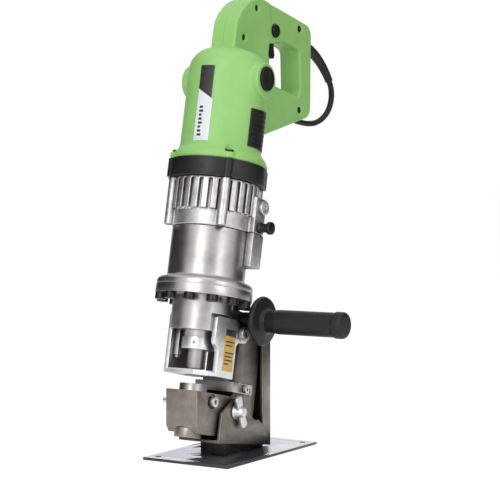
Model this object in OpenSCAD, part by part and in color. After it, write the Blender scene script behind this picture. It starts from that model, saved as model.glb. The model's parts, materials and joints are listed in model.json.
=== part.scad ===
/* [Stand] */
// Width of the base plate, side to side
base_w = 110; // [96:2:160]
// Length of the base plate, front to back
base_l = 190; // [186:2:260]
// Thickness of the base plate
base_t = 3; // [2.5:0.5:4]
// Diameter of the four corner holes in the base plate
base_hole_d = 7; // [5:0.5:9]
// Distance of the corner holes from the plate's edges
base_hole_inset = 12; // [9:1:16]
// Thickness of the bracket's sheet steel
sheet_t = 3; // [2:0.5:3]
// Height of the bracket's upright channel
upright_top = 150; // [128:1:152]

/* [Punching end] */
// Punch diameter
punch_d = 20.5; // [14:0.5:21]
// Radial clearance between punch and die
die_gap = 0.3; // [0.2:0.05:0.5]
// Outside diameter of the die
die_d = 30; // [28:1:32]
// Gap between the die and the stripper, where the work goes in
work_gap = 9.5; // [8:0.5:11]
// Outside diameter of the knurled nut that holds the punch
nut_d = 36; // [34:1:38]
// Half width of the jaw and the back column
jaw_half_w = 20; // [18:0.5:20]
// Distance of the throat's back wall from the punch axis
throat_back = 51; // [50:0.5:52]

/* [Hydraulic cylinder] */
// Outside diameter of the cylinder barrel
barrel_d = 85; // [82:1:86]
// Outside diameter of the bolted flanges
flange_d = 106; // [104:1:107]
// Number of flange bolts
flange_bolts_n = 12; // [8:4:12]
// Radius of the ram rod
rod_r = 17; // [15:0.5:18]
// Radius of the cylinder bore
bore_r = 33; // [31:0.5:34]

/* [Pump and motor] */
// Outside radius of the cooling ribs
rib_r = 47.5; // [46:0.5:49]
// Ribs between two corner bosses
ribs_per_side = 6; // [4:1:6]
// Outside radius of the gear collar
collar_r = 53.5; // [53:0.5:55]
// Outside radius of the motor housing
motor_r = 45; // [45:0.5:46]
// Wall thickness of the motor housing
motor_wall = 3; // [2.5:0.5:3]
// Teeth on the motor pinion
pinion_teeth = 12; // [12:1:12]
// Teeth on the reduction gear
gear_teeth = 30; // [30:1:30]

/* [Handles and lead] */
// Half width of the D handle
grip_half_w = 14; // [12:0.5:15]
// Radius of the side handle's grip
side_grip_r = 13.5; // [12:0.5:16]
// Free end of the side handle, from the centre plane
side_grip_end = 154; // [130:1:170]
// Diameter of the mains lead
cord_d = 7; // [6.5:0.5:7]

/* [Hidden] */

$fn = 64;
fine = 96;                  // facets of the large rounds
fit = 0.05;                 // radial running clearance
snug = 0.1;                 // radial clearance of parts that are screwed together
eps = 1;                    // overshoot of a cutter

// The tool leans back on its stand. Its own frame has its origin at the centre of
// the die's top face, z along the punch axis and y towards the D handle.
lean = 12;
die_y = -77.5;
die_z = 85;

// Colours
c_green = [0.47, 0.76, 0.34];
c_black = [0.12, 0.12, 0.12];
c_iron = [0.42, 0.39, 0.36];
c_cast = [0.58, 0.58, 0.57];
c_steel = [0.72, 0.72, 0.72];
c_zinc = [0.86, 0.87, 0.88];
c_copper = [0.72, 0.45, 0.25];
c_brass = [0.75, 0.62, 0.3];

// Stand bracket, in the stand's frame
bracket_half_w = 26;
strip_front = 22;
strip_back = 39.5;
foot_front = -40;
foot_half_w = 16;
wing_y = -34;
wing_z = 51.5;
wing_thread_r = 4;
foot_screw_r = 2.9;
foot_screws = [[-10, -28], [10, -28], [-10, 20], [10, 20]];

// Jaw and frame heights, in the tool's frame
jaw_top = -8;
jaw_bottom = -53;
chin_z = -47;
arm_z = 57;                 // underside of the upper arm
arm_top = 85.5;
column_back = 96;
corner_r = 35;              // rounded back corners
throat_r = 8;
body_half_w = 26;
neck_r = 33;
flange_z = 94;
joint_z = 103.5;            // where the two flanges meet
flange_top = 112;
bolt_circle_r = 47;
spigot_top = 109;
die_depth = 22;
slug_r = 12;
clamp_y = 48.9;             // wing bolt hole, in the tool's frame
clamp_z = -23.7;

// Ram
ram_bottom = 50;
head_z = 150;
head_top = 166;
seal_z = 156;
seal_h = 5;
nut_bottom = 37;
punch_top = 45;
punch_head_r = 14;
barrel_top = 168;
housing_z = 168.6;

// Stripper
strip_z = work_gap;
strip_t = 5.5;
side_t = 5;
strip_outer = body_half_w + side_t;

// Back gauge
gauge_z0 = -3;
gauge_z1 = 8;
gauge_front = 40;
gauge_gap = 0.4;
gauge_arm_t = 2.2;
gauge_screw_y = 68;

// Pump
ring_top = 186;
rib_top = 219;
pump_top = 221;
boss_r = 5.5;
boss_at = 47.5;
cavity_r = 38;
cavity_z = 176;
shaft_y = 14.7;             // eccentric shaft, behind the motor axis
ecc = 1.5;
ecc_r = 9;
port_y = 18;
valve_z = 175.5;
filler_y = 20;
filler_z = 198;

// Gears: straight teeth, centre distance shaft_y
gear_m = 2 * shaft_y / (pinion_teeth + gear_teeth);
gear_z = 228;
gear_h = 6;
backlash = 0.05;             // share of the tooth pitch

// Motor
collar_top = 241;
shaft_r = 5;
bearing_z = 236;
motor_in = motor_r - motor_wall;
brush_z = 338;
brush_cap_r = 13;
brush_face = 50;
motor_top = 370;
dome_r = 24;                // rounding of the motor housing's shoulder

// D handle, tool frame
arm_under = 407;            // underside of the upper arm
opening_bottom = 352;
head_front = -20;
head_half_w = 15.5;
trigger_pivot = [56, 407];
lock_at = [63.6, 413];
screw_at = [[18, 426], [-1.5, 386.5], [116, 431], [135.5, 338]];
side_y = 46;
side_z = 77;

// Lead: its strain relief leaves the D handle's back bar and bends downwards
relief_bend = 112;
relief_centre = [150, 309.6];
relief_dirs = [for (i = [0:12]) -2.3 + 41.3 * i / 12];
relief_route = concat([[0, 132, 421], [0, 139, 421.2]],
    [for (a = relief_dirs) [0, relief_centre[0] + relief_bend * sin(a),
        relief_centre[1] + relief_bend * cos(a)]]);
relief_radii = concat([6.3, 6.3], [for (i = [0:12]) 6.3 - 1.5 * max(0, i - 3) / 9]);
cord_r = cord_d / 2;
cord_route = [
    [0, 220.9, 426.8], [0, 225, 420.2], [-0.4, 227.7, 412.5], [-1.3, 228.6, 404.4],
    [-3.4, 226.3, 392.9], [-6.6, 219.8, 383.2], [-10.4, 210.1, 376.7], [-14.2, 198.6, 374.4],
    [-17.6, 185, 375.2], [-20, 170, 377.7], [-21, 154, 381], [-21, 134, 384],
    [-21, 114, 386], [-21, 98, 386], [-21, 86, 384], [-25, 72, 376], [-31, 64, 362],
    [-36, 61, 344], [-40, 62, 322], [-43, 64, 296], [-46, 67, 268], [-48, 70, 240],
    [-50, 73, 212], [-53, 75, 184], [-56, 76, 156], [-58, 77, 128], [-60, 78, 100],
    [-61, 78, 74], [-61.5, 78, 52], [-61.5, 78, 35.7], [-61.5, 80.4, 23.8],
    [-61.5, 87.1, 13.8], [-61.5, 97.1, 7.1], [-61.5, 109, 4.7], [-61.5, 121, 4.7],
    [-61.5, 136, 4.7]
];
coil_x = -104;
coil_y = 136;
coil_r0 = 35.5;             // inner column of turns
coil_lift = 1.2;            // the ties' thickness under the coil
coil_layers = 5;
tail_route = [
    [-68, 158.5, 11.7], [-74, 168, 11.8], [-80, 177.5, 12.7], [-86, 187, 14.3],
    [-92, 196.5, 16.1], [-97, 204.5, 17.2]
];
plug_r = 17;
plug_turn = 122;            // direction that the plug points in, seen from above
clip_y = 92;
clip_z = 385;
clip_x = -21;
clip_face = -grip_half_w;

// ---------------------------------------------------------------- helpers

// Places its children in the tool's own frame
module tool() {
    translate([0, die_y, die_z]) rotate([-lean, 0, 0]) children();
}

// Points along an arc about c, from angle a0 to a1
function arc(c, r, a0, a1, n = 12) =
    [for (i = [0:n]) c + r * [cos(a0 + (a1 - a0) * i / n), sin(a0 + (a1 - a0) * i / n)]];

// Extrudes a (y, z) outline along x between x0 and x1
module slab(x0, x1, points) {
    translate([x0, 0, 0]) rotate([90, 0, 90]) linear_extrude(x1 - x0) polygon(points);
}

// A box from its lowest corner a to its highest corner b
module block(a, b) {
    translate(a) cube(b - a);
}

// A round bar along +x
module xbar(x0, x1, r, y = 0, z = 0, sides = 64) {
    translate([x0, y, z]) rotate([0, 90, 0]) cylinder(r = r, h = x1 - x0, $fn = sides);
}

// A ring between two radii
module ring(r_out, r_in, z0, z1, sides = 64) {
    translate([0, 0, z0]) difference() {
        cylinder(r = r_out, h = z1 - z0, $fn = sides);
        translate([0, 0, -eps]) cylinder(r = r_in, h = z1 - z0 + 2 * eps, $fn = sides);
    }
}

// A socket-head screw along +z: the head's underside is at z = 0
module socket_screw(head_r, head_h, shank_r, shank_l, hex_r) {
    difference() {
        translate([0, 0, -head_h]) cylinder(r = head_r, h = head_h, $fn = 32);
        translate([0, 0, -head_h - eps]) cylinder(r = hex_r, h = head_h * 0.6 + eps, $fn = 6);
    }
    cylinder(r = shank_r, h = shank_l, $fn = 32);
}

// The four corner positions at radius r
module corners(r) {
    for (a = [45:90:315]) rotate(a) translate([r, 0, 0]) children();
}

// Gear outline with straight-sided teeth; slack thins each tooth
function polar(r, a) = [r * cos(a), r * sin(a)];
function gear_outline(m, n, slack) =
    let (tip = m * (n / 2 + 0.85), root = m * (n / 2 - 1.15), step = 360 / n)
    let (wide = step * (0.36 - slack), narrow = 0.13 * step)
    [for (k = [0:n - 1]) each [
        polar(root, k * step - wide), polar(tip, k * step - narrow),
        polar(tip, k * step + narrow), polar(root, k * step + wide)]];

// Smooth curve through a route: mid(i) lies between points i and i + 1
function at(route, i) = route[max(0, min(len(route) - 1, i))];
function between(route, i) =
    (-at(route, i - 1) + 9 * at(route, i) + 9 * at(route, i + 1) - at(route, i + 2)) / 16;
function smooth(route) =
    [for (k = [0:2 * len(route) - 2]) k % 2 == 0 ? route[k / 2] : between(route, (k - 1) / 2)];
function unit(v) = v / norm(v);

// A round tube swept along a route; r is its radius, or a list with one for each point
module sweep(route, r, sides = 10) {
    n = len(route);
    dirs = [for (i = [0:n - 1]) unit(at(route, i + 1) - at(route, i - 1))];
    side = [for (d = dirs) unit(cross(d, abs(d[0]) > 0.9 ? [0, 1, 0] : [1, 0, 0]))];
    points = [for (i = [0:n - 1], k = [0:sides - 1])
        let (u = side[i], w = cross(dirs[i], u), a = 360 * k / sides)
        route[i] + (is_list(r) ? r[i] : r) * (cos(a) * u + sin(a) * w)];
    walls = [for (i = [0:n - 2], k = [0:sides - 1])
        let (a = i * sides + k, b = i * sides + (k + 1) % sides)
        [a, b, b + sides, a + sides]];
    first = [for (k = [sides - 1:-1:0]) k];
    last = [for (k = [0:sides - 1]) (n - 1) * sides + k];
    polyhedron(points, concat([for (w = walls) [w[3], w[2], w[1], w[0]]],
        [[for (i = first) first[i]]], [[for (i = [sides - 1:-1:0]) last[i]]]));
}

// ---------------------------------------------------------------- stand

module base_plate() {
    color("#b9bac6")
    difference() {
        translate([-base_w / 2, -base_l / 2, 0]) cube([base_w, base_l, base_t]);
        for (x = [-1, 1], y = [-1, 1])
            translate([x * (base_w / 2 - base_hole_inset), y * (base_l / 2 - base_hole_inset), -eps])
                cylinder(d = base_hole_d, h = base_t + 2 * eps);
        for (p = foot_screws) translate([p[0], p[1], -eps]) {
            cylinder(r = foot_screw_r + snug, h = base_t + 2 * eps);
            cylinder(r = 5.6, h = eps + 1.8);
        }
    }
}

// The sheet's side view: cheeks beside the jaw, then the upright's flange
bracket_outline = concat(
    [[38.5, 5], [-68, 21], [-61, 53], [-38, 65], [-26, 65], [-14, 52], [6, 37]],
    arc([26, 45], 14, 218, 262, 6),
    [[strip_front, 44], [strip_front, upright_top], [strip_back, upright_top], [strip_back, 5]]);

module stand_bracket() {
    floor_slope = 16 / 106.5;
    color(c_iron)
    difference() {
        union() {
            for (s = [0, 1])
                mirror([s, 0, 0]) slab(bracket_half_w - sheet_t, bracket_half_w, bracket_outline);
            slab(-bracket_half_w, bracket_half_w,
                [[38.5, 5], [-68, 21], [-67.6, 21 + sheet_t], [38.5, 5 + sheet_t]]);
            block([-bracket_half_w, strip_back - sheet_t, 5], [bracket_half_w, strip_back, upright_top]);
            slab(-foot_half_w, foot_half_w,
                [[foot_front, base_t], [strip_back, base_t], [strip_back, 6],
                 [foot_front, 19]]);
        }
        for (p = foot_screws)
            translate([p[0], p[1], 0]) cylinder(r = foot_screw_r + snug, h = 9);
        xbar(-40, 40, wing_thread_r + 0.4, wing_y, wing_z);
    }
}

module stand_screws() {
    color(c_zinc)
    for (p = foot_screws) translate([p[0], p[1], 0]) difference() {
        union() {
            translate([0, 0, 0.3]) cylinder(r = 5.4, h = 1.5);
            translate([0, 0, 1.8]) cylinder(r = foot_screw_r, h = 6.7);
        }
        translate([0, 0, -eps]) cylinder(r = 1.8, h = eps + 1.6, $fn = 6);
    }
}

// A wing bolt along +x, threaded into the frame beside the bracket's cheek
module wing_bolt() {
    translate([0, wing_y, wing_z]) {
        xbar(jaw_half_w - 6, 30, wing_thread_r - fit);
        xbar(bracket_half_w + 0.1, bracket_half_w + 1.8, 8.5);
        translate([bracket_half_w + 1.8, 0, 0]) rotate([0, 90, 0])
            cylinder(r1 = 7.5, r2 = 5, h = 10);
        for (s = [-1, 1]) rotate([20, 0, 0])
            slab(31.5, 34.5, [[-4, 0], [-5.5, s * 16], [-3, s * 18.5], [3, s * 18.5], [5.5, s * 16], [4, 0]]);
    }
}

module wing_bolt_right() {
    color(c_zinc) wing_bolt();
}

module wing_bolt_left() {
    color(c_zinc) mirror([1, 0, 0]) wing_bolt();
}

// ---------------------------------------------------------------- frame and punch

// Side view of jaw, back column and upper arm
frame_outline = concat(
    [[-22, jaw_top], [-14, chin_z]],
    [[-8, jaw_bottom], [column_back - corner_r, jaw_bottom]],
    arc([column_back - corner_r, jaw_bottom + corner_r], corner_r, -80, 0, 9),
    arc([column_back - corner_r, arm_top - corner_r], corner_r, 0, 90, 10),
    [[0, arm_top], [0, arm_z]],
    arc([throat_back - throat_r, arm_z - throat_r], throat_r, 90, 0, 5),
    arc([throat_back - throat_r, jaw_top + throat_r], throat_r, 0, -90, 5));

module c_frame() {
    color(c_iron)
    difference() {
        tool() difference() {
            union() {
                slab(-jaw_half_w, jaw_half_w, frame_outline);
                block([-body_half_w, -2, arm_z], [body_half_w, 60, arm_top]);
                intersection() {
                    translate([0, 0, arm_z]) cylinder(r = neck_r, h = flange_z - arm_z, $fn = fine);
                    union() {
                        block([-body_half_w, -40, arm_z], [body_half_w, 40, flange_z]);
                        block([-40, -40, 76], [40, 40, flange_z]);
                    }
                }
                translate([0, 0, flange_z]) cylinder(d = flange_d, h = joint_z - flange_z, $fn = fine);
                translate([0, 0, joint_z - eps]) cylinder(r = bore_r - snug, h = spigot_top - joint_z + eps, $fn = fine);
                translate([0, 0, jaw_bottom - 5]) cylinder(r = slug_r + 3, h = 10);
                xbar(-jaw_half_w - 3, jaw_half_w + 3, 9, clamp_y, clamp_z);
            }
            translate([0, 0, arm_z - eps]) cylinder(r = rod_r + fit, h = 60, $fn = fine);
            translate([0, 0, 64]) cylinder(r = 22, h = 6, $fn = fine);
            translate([0, 0, -die_depth]) cylinder(d = die_d + 2 * snug, h = 40);
            translate([0, 0, jaw_bottom - 6]) cylinder(r = slug_r, h = 60);
            for (k = [0:flange_bolts_n - 1]) rotate((k + 0.5) * 360 / flange_bolts_n)
                translate([bolt_circle_r, 0, flange_z - eps]) cylinder(r = 4.4, h = 20, $fn = 32);
            // set screws that hold the die, the right one in a spot face
            xbar(14.5, 30, 3 + snug, 9.5, -17, 32);
            xbar(jaw_half_w - 1.5, 30, 8, 9.5, -17);
            xbar(-30, -14.5, 3 + snug, 0, -20, 32);
            xbar(-40, 40, 2.5 + snug, gauge_screw_y, 2.5, 32);
            for (s = [0, 1]) mirror([s, 0, 0]) xbar(14, 40, 4 + snug, 36, 61, 32);
            xbar(8, 40, 6 + snug, side_y, side_z);
        }
        for (s = [0, 1]) mirror([s, 0, 0]) xbar(jaw_half_w - 8, 40, wing_thread_r, wing_y, wing_z);
    }
}

module die() {
    color(c_steel) tool() difference() {
        translate([0, 0, -die_depth]) cylinder(d = die_d, h = die_depth);
        translate([0, 0, -die_depth - eps]) cylinder(r = slug_r - 0.5, h = 14 + eps);
        translate([0, 0, -die_depth]) cylinder(r = punch_d / 2 + die_gap, h = die_depth + eps);
    }
}

module die_set_screws() {
    color(c_zinc) tool() {
        xbar(15.2, 20.5, 3, 9.5, -17, 32);
        difference() {
            xbar(20.5, 25, 5.5, 9.5, -17);
            xbar(22.5, 26, 2.8, 9.5, -17, 6);
        }
        difference() {
            xbar(-36, -15.2, 3, 0, -20);
            xbar(-37, -33, 1.6, 0, -20, 6);
        }
    }
}

module back_gauge() {
    front = gauge_front;
    back = throat_back - 2.5 * gauge_gap;
    arm_in = jaw_half_w + gauge_gap;
    arm_out = arm_in + gauge_arm_t;
    color(c_cast) tool() difference() {
        union() {
            block([-25, front, gauge_z0], [25, back, gauge_z1]);
            block([-16, front + 1, gauge_z1], [16, front + 9, gauge_z1 + 4.5]);
            for (s = [0, 1]) mirror([s, 0, 0])
                block([arm_in, back - eps, gauge_z0], [arm_out, 84, gauge_z1]);
        }
        for (s = [0, 1]) mirror([s, 0, 0]) {
            block([arm_in - eps, gauge_screw_y - 0.2, -0.2], [arm_out + eps, 78, 5.2]);
            xbar(arm_in - eps, arm_out + eps, 2.7, gauge_screw_y - 0.2, 2.5, 32);
            xbar(arm_in - eps, arm_out + eps, 2.7, 78, 2.5, 32);
        }
    }
}

module gauge_screws() {
    head_x = jaw_half_w + gauge_gap + gauge_arm_t + 0.3;
    color(c_zinc) tool() for (s = [0, 1]) mirror([s, 0, 0])
        translate([head_x, gauge_screw_y, 2.5]) rotate([0, -90, 0])
            socket_screw(4.4, 4, 2.4, head_x - 8, 2);
}

strip_side = [
    [-15, 72], [-15, 47], [-13, 43], [-8, 39.5], [-6, 36], [-6, strip_z], [28, strip_z],
    [28, 46], [32, 50], [46, 51], [50, 55], [50, 63.5], [22, 74], [-13, 74]];

module stripper() {
    color(c_zinc) tool() difference() {
        union() {
            slab(body_half_w, strip_outer, strip_side);
            slab(-strip_outer, -body_half_w, concat([[-15, 72], [-15, strip_z]],
                [for (i = [6:13]) strip_side[i]]));
            translate([0, 0, strip_z]) linear_extrude(strip_t) polygon([
                [-strip_outer, -15], [8, -15], [20, -6], [strip_outer, -6],
                [strip_outer, 28], [-strip_outer, 28]]);
        }
        translate([0, 0, strip_z - eps]) cylinder(r = punch_d / 2 + 1, h = strip_t + 2 * eps);
        for (s = [0, 1]) mirror([s, 0, 0])
            xbar(body_half_w - eps, strip_outer + eps, 4.2, 36, 61, 32);
    }
}

module stripper_bolts() {
    color(c_zinc) tool() for (s = [0, 1]) mirror([s, 0, 0])
        translate([strip_outer, 36, 61]) rotate([0, -90, 0]) socket_screw(7, 6.5, 4, 14, 3);
}

module guide_bar() {
    color(c_zinc) tool() union() {
        block([-25.5, -8, 30], [-20, 0, arm_z]);
        block([-24.5, -7, 27], [-21, -1, 30]);
    }
}

module ram() {
    groove_r = bore_r - 4;
    color(c_steel) tool() {
        translate([0, 0, ram_bottom - 5]) cylinder(r = rod_r - 2, h = 5);
        translate([0, 0, ram_bottom]) cylinder(r = rod_r, h = head_z - ram_bottom, $fn = fine);
        difference() {
            translate([0, 0, head_z]) cylinder(r = bore_r - fit, h = head_top - head_z, $fn = fine);
            ring(bore_r + eps, groove_r, seal_z, seal_z + seal_h, fine);
        }
    }
}

module piston_seal() {
    color(c_black) tool() ring(bore_r - fit, bore_r - 3.9, seal_z + fit, seal_z + seal_h - fit, fine);
}

module rod_seal() {
    color(c_black) tool() ring(21.9, rod_r + fit, 64.1, 69.9, fine);
}

// Compression spring round the rod, between the frame's spigot and the piston
module return_spring() {
    wire_r = 2.5;
    turns = 4;
    step = 22.5;
    low = spigot_top + wire_r + 0.1;
    rise = head_z - spigot_top - 2 * wire_r - 0.2;
    n = turns * 360 / step;
    path = [for (i = [0:n]) [24.5 * cos(i * step), 24.5 * sin(i * step), low + rise * i / n]];
    color(c_steel) tool() sweep(path, wire_r, 8);
}

module punch_nut() {
    color(c_zinc) tool() difference() {
        translate([0, 0, nut_bottom]) cylinder(d = nut_d, h = ram_bottom - nut_bottom, $fn = fine);
        translate([0, 0, nut_bottom - eps]) cylinder(r = punch_d / 2 + 0.6, h = 20);
        translate([0, 0, nut_bottom + 2.5]) cylinder(r = rod_r - 2 + snug, h = 20, $fn = fine);
        for (k = [0:3]) rotate(k * 90 + 19)
            xbar(nut_d / 2 - 2.5, nut_d / 2 + 2, 2, 0, 43.5, 24);
    }
}

module punch() {
    tip = strip_z + strip_t + 1.5;
    color(c_steel) tool() {
        difference() {
            translate([0, 0, tip]) cylinder(d = punch_d, h = nut_bottom + 3 - tip);
            translate([0, 0, tip - eps]) cylinder(r = 2, h = 4);
        }
        translate([0, 0, nut_bottom + 2.5]) cylinder(r = punch_head_r, h = punch_top - nut_bottom - 2.5);
    }
}

// ---------------------------------------------------------------- hydraulics

module cylinder_profile() {
    r = barrel_d / 2;
    polygon([[bore_r, joint_z], [flange_d / 2 - 0.5, joint_z], [flange_d / 2 - 0.5, flange_top - 3],
        [flange_d / 2 - 3, flange_top], [r + 3, flange_top], [r, flange_top + 3],
        [r, barrel_top], [bore_r, barrel_top]]);
}

module cylinder_barrel() {
    color(c_steel) tool() difference() {
        rotate_extrude($fn = fine) cylinder_profile();
        for (k = [0:flange_bolts_n - 1]) rotate((k + 0.5) * 360 / flange_bolts_n)
            translate([bolt_circle_r, 0, joint_z - eps]) cylinder(r = 4.1, h = 6 + eps, $fn = 32);
    }
}

module flange_bolts() {
    color("#3a3a3a") tool()
    for (k = [0:flange_bolts_n - 1]) rotate((k + 0.5) * 360 / flange_bolts_n)
        translate([bolt_circle_r, 0, flange_z]) socket_screw(6.2, 7.5, 4, 15, 3);
}

module side_block() {
    color(c_cast) tool() difference() {
        block([30, 6, 131], [51, 27, barrel_top]);
        translate([0, 0, 120]) cylinder(r = barrel_d / 2 + fit, h = 60, $fn = fine);
    }
}

module housing_gasket() {
    color(c_black) tool() ring(barrel_d / 2 - 0.5, bore_r + 1, barrel_top, housing_z, fine);
}

module pump_housing() {
    core_r = rib_r - 4.5;
    rib_w = 6.4;
    corner_step = 90 / (ribs_per_side + 1);
    color(c_cast) tool() difference() {
        union() {
            translate([0, 0, housing_z]) cylinder(r = rib_r - 4, h = ring_top - housing_z, $fn = fine);
            translate([0, 0, ring_top]) cylinder(r = core_r, h = pump_top - ring_top, $fn = fine);
            translate([0, 0, rib_top]) cylinder(r = rib_r, h = pump_top - rib_top, $fn = fine);
            for (q = [0:3], i = [1:ribs_per_side]) rotate(45 + q * 90 + i * corner_step)
                block([30, -rib_w / 2, ring_top], [rib_r, rib_w / 2, pump_top]);
            corners(boss_at) translate([0, 0, housing_z]) cylinder(r = boss_r, h = pump_top - housing_z);
            block([30, 7, housing_z], [50, 28, 208]);
        }
        translate([0, 0, cavity_z]) cylinder(r = cavity_r, h = 60, $fn = fine);
        translate([0, -20, housing_z - eps]) cylinder(r = 4, h = 20);
        corners(boss_at) rotate_extrude($fn = 32) polygon([[0, housing_z - eps],
            [4.2, housing_z - eps], [4.2, housing_z + 5], [2.6, housing_z + 5], [2.6, 230], [0, 230]]);
        xbar(39.5, 60, 4, port_y, valve_z);
        xbar(42, 60, 5 + snug, filler_y, filler_z);
    }
}

module tie_bolts() {
    color("#3a3a3a") tool() corners(boss_at) translate([0, 0, housing_z + 5])
        socket_screw(3.9, 4.5, 2.5, 51, 2);
}

module pump_block() {
    color(c_cast) tool() difference() {
        translate([0, 4, cavity_z]) cylinder(r = 32, h = 22, $fn = fine);
        translate([0, shaft_y, 184]) cylinder(r = ecc_r + ecc + 1.5, h = 30);
        translate([0, shaft_y, 178]) cylinder(r = 8 + fit, h = 30);
        translate([0, shaft_y - 8, 190]) rotate([90, 0, 0]) cylinder(r = 3 + fit, h = 40, $fn = 32);
        translate([0, -20, cavity_z - eps]) cylinder(r = 2, h = 10);
    }
}

module plunger() {
    tip = shaft_y - ecc_r - ecc - 0.3;
    color(c_steel) tool() translate([0, tip, 190]) rotate([90, 0, 0])
        cylinder(r = 3, h = 20, $fn = 32);
}

module eccentric_shaft() {
    color(c_steel) tool() translate([0, shaft_y, 0]) {
        translate([0, 0, 178.5]) cylinder(r = shaft_r, h = 56);
        translate([0, ecc, 185]) cylinder(r = ecc_r, h = 10);
    }
}

module ball_bearings() {
    color(c_zinc) tool() {
        translate([0, shaft_y, 0]) ring(8, shaft_r + fit, 178.6, 183.4);
        translate([0, shaft_y, 0]) ring(9, shaft_r + fit, 221.5, 225.9);
        ring(11, shaft_r + fit, bearing_z + 0.1, collar_top - 0.1);
        ring(9, shaft_r + fit, 358.1, 364);
    }
}

module oil_bladder() {
    color(c_black) tool() translate([0, 0, 200]) rotate_extrude($fn = fine)
        polygon([[30, 0], [36, 0], [37, 2], [36, 9], [37, 16], [36, 18], [30, 18], [31, 9]]);
}

module filler_plug() {
    color(c_zinc) tool() {
        xbar(42.5, 50, 5, filler_y, filler_z);
        difference() {
            xbar(50, 54, 8, filler_y, filler_z);
            xbar(52, 55, 3, filler_y, filler_z, 6);
        }
    }
}

module release_valve() {
    color("#2a2a2a") tool() {
        xbar(40, 52, 4 - fit, port_y, valve_z);
        xbar(50.3, 53, 6.5, port_y, valve_z, 6);
        xbar(53, 62, 5, port_y, valve_z);
        difference() {
            xbar(62, 66, 7, port_y, valve_z);
            block([64.5, port_y - 0.8, valve_z - 8], [67, port_y + 0.8, valve_z + 8]);
        }
    }
}

// ---------------------------------------------------------------- gear collar and motor

module collar_ring() {
    color(c_black) tool() difference() {
        union() {
            translate([0, 0, pump_top]) cylinder(r = collar_r, h = collar_top - pump_top, $fn = fine);
            corners(collar_r - 3) translate([0, 0, pump_top]) cylinder(r = 5.5, h = collar_top - pump_top);
        }
        translate([0, 0, 226]) cylinder(r = motor_in + 0.1, h = 20, $fn = fine);
        translate([0, shaft_y, pump_top - eps]) cylinder(r = 9 + fit, h = 20);
        corners(boss_at) translate([0, 0, pump_top - eps]) cylinder(r = 2.6, h = 5 + eps, $fn = 32);
        corners(boss_at + 1) translate([0, 0, 228.5]) cylinder(r = 2.6, h = 20, $fn = 32);
    }
}

module bearing_plate() {
    color(c_cast) tool() ring(motor_in, 11 + fit, bearing_z, collar_top, fine);
}

module reduction_gear() {
    color(c_steel) tool() translate([0, shaft_y, gear_z]) difference() {
        linear_extrude(gear_h) polygon(gear_outline(gear_m, gear_teeth, backlash));
        translate([0, 0, -eps]) cylinder(r = shaft_r + 0.02, h = gear_h + 2 * eps);
    }
}

// Motor housing: flange, barrel and rounded shoulder
housing_profile = concat(
    [[motor_in, collar_top], [collar_r - 1.5, collar_top], [collar_r - 1.5, 248], [collar_r - 4, 251.5],
     [motor_r + 1, 255], [motor_r, 259]],
    arc([motor_r - dome_r, motor_top - dome_r], dome_r, 0, 90, 10),
    [[0, motor_top], [0, 364.5], [24, 364.5], [37, 357], [motor_in, 347]]);
// What the D handle leaves free for the housing
saddle_profile = concat([[0, 250], [motor_r + fit, 250]],
    arc([motor_r - dome_r, motor_top - dome_r], dome_r + fit, 0, 90, 10), [[0, motor_top + fit]]);

module motor_housing() {
    color(c_green) tool() difference() {
        union() {
            rotate_extrude($fn = fine) polygon(housing_profile);
            for (s = [0, 1]) mirror([s, 0, 0]) difference() {
                xbar(35, brush_face, 20, 0, brush_z - 2);
                translate([0, 0, 300]) cylinder(r = motor_in, h = 80, $fn = fine);
            }
            ring(14, 9 + fit, 357, 366);
            corners(boss_at + 1) translate([0, 0, collar_top]) cylinder(r = 6.5, h = 8);
        }
        for (s = [0, 1]) mirror([s, 0, 0]) {
            xbar(30, brush_face + eps, 6 + snug, 0, brush_z);
            xbar(brush_face - 3, brush_face + eps, brush_cap_r + snug, 0, brush_z);
        }
        corners(boss_at + 1) rotate_extrude($fn = 32) polygon([
            [0, collar_top - eps], [2.6, collar_top - eps], [2.6, 247], [4.6, 247], [4.6, 257], [0, 257]]);
        translate([0, 0, 364]) cylinder(r = 4, h = 20);
    }
}

module housing_screws() {
    color("#2a2a2a") tool() corners(boss_at + 1) translate([0, 0, 247]) mirror([0, 0, 1])
        socket_screw(4.4, 4, 2.5, 17, 2);
}

module stator() {
    color(c_iron) tool() {
        ring(motor_in - fit, 29, 266, 314, fine);
        for (z = [258, 314]) ring(39, 31, z, z + 8, fine);
    }
}

module armature() {
    slots = 12;
    color(c_iron) tool() difference() {
        translate([0, 0, 262]) cylinder(r = 28, h = 56, $fn = fine);
        translate([0, 0, 261]) cylinder(r = shaft_r + 0.02, h = 60);
        for (k = [0:slots - 1]) rotate(k * 360 / slots)
            block([20, -1.5, 261], [30, 1.5, 320]);
    }
}

module commutator() {
    color(c_copper) tool() ring(12, shaft_r + 0.02, 326, 350);
}

// Motor shaft with the pinion cut on its end
module armature_shaft() {
    color(c_steel) tool() {
        translate([0, 0, bearing_z - 1]) cylinder(r = shaft_r, h = 364 - bearing_z + 1);
        translate([0, 0, gear_z - 0.5]) linear_extrude(bearing_z - gear_z)
            polygon(gear_outline(gear_m, pinion_teeth, backlash));
    }
}

module fan() {
    blades = 9;
    color(c_black) tool() difference() {
        union() {
            translate([0, 0, 244]) cylinder(r = 36, h = 2, $fn = fine);
            translate([0, 0, 244]) cylinder(r = 9, h = 11);
            for (k = [0:blades - 1]) rotate(k * 360 / blades)
                block([8, -0.8, 245], [35, 0.8, 255]);
        }
        translate([0, 0, 243]) cylinder(r = shaft_r + 0.02, h = 20);
    }
}

module brush_holders() {
    color(c_brass) tool() for (s = [0, 1]) mirror([s, 0, 0]) difference() {
        xbar(14, 46.5, 6, 0, brush_z);
        block([13, -3.1, brush_z - 4.1], [44, 3.1, brush_z + 4.1]);
    }
}

module carbon_brushes() {
    color("#1c1c1c") tool() for (s = [0, 1]) mirror([s, 0, 0])
        block([12.4, -3, brush_z - 4], [30, 3, brush_z + 4]);
}

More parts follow.
